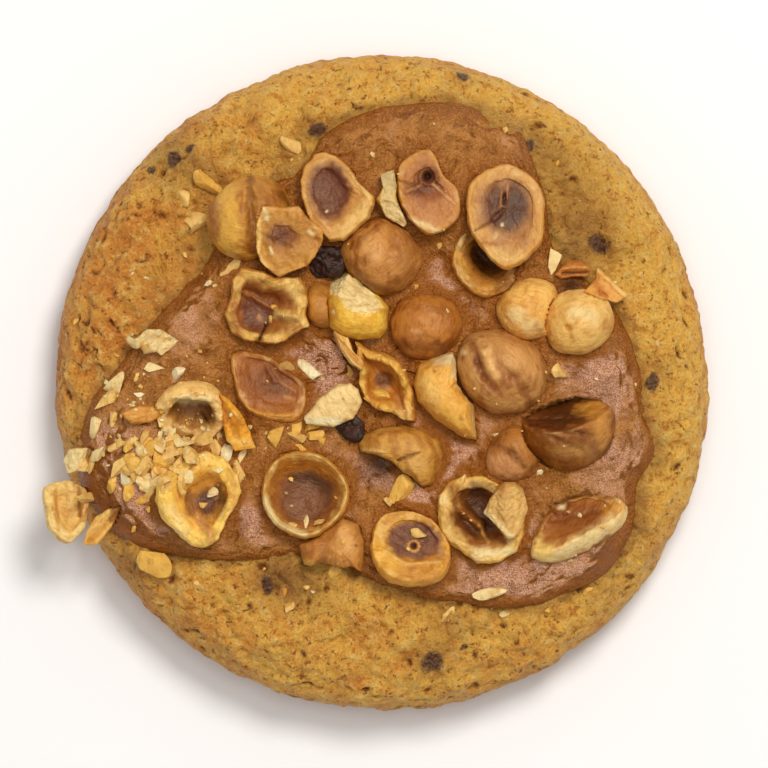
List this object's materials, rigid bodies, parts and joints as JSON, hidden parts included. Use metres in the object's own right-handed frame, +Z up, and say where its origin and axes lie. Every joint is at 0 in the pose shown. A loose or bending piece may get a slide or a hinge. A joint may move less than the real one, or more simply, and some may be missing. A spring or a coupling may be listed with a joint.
{
  "type": "hazelnut praline cookie",
  "caption": "Round thick cookie with a pool of praline in its domed top, set with whole, halved and broken roasted hazelnuts.",
  "frame": {"origin": "middle of the flat base that the cookie lies on", "axes": "+Z up out of the base, +X to the right and +Y to the far edge as seen from above with the thin praline lobe at the left"},
  "size_m": [0.1019, 0.1002, 0.0275],
  "materials": {
    "dough": "matte, baked and porous",
    "praline": "soft sheen, finely grainy",
    "hazelnut": "satin, roasted",
    "chopped_nut": "satin, roasted",
    "chocolate": "satin"
  },
  "bodies": {
    "root": {"dough": "dough", "praline": "praline", "half_01": "hazelnut", "half_02": "hazelnut", "half_03": "hazelnut", "half_04": "hazelnut", "half_05": "hazelnut", "half_06": "hazelnut", "half_07": "hazelnut", "half_08": "hazelnut", "half_09": "hazelnut", "half_10": "hazelnut", "half_11": "hazelnut", "half_12": "hazelnut", "half_13": "hazelnut", "half_14": "hazelnut", "half_15": "hazelnut", "half_16": "hazelnut", "kernel_01": "hazelnut", "kernel_02": "hazelnut", "kernel_03": "hazelnut", "kernel_04": "hazelnut", "kernel_05": "hazelnut", "kernel_06": "hazelnut", "kernel_07": "hazelnut", "kernel_08": "hazelnut", "shell_01": "hazelnut", "shell_02": "hazelnut", "shell_03": "hazelnut", "lump_01": "chopped_nut", "lump_02": "chopped_nut", "lump_03": "chopped_nut", "lump_04": "chopped_nut", "lump_05": "chopped_nut", "flake_01": "chopped_nut", "flake_02": "chopped_nut", "flake_03": "chopped_nut", "flake_04": "chopped_nut", "flake_05": "chopped_nut", "flake_06": "chopped_nut", "flake_07": "chopped_nut", "chocolate_01": "chocolate", "chocolate_02": "chocolate"}
  },
  "joints": []
}
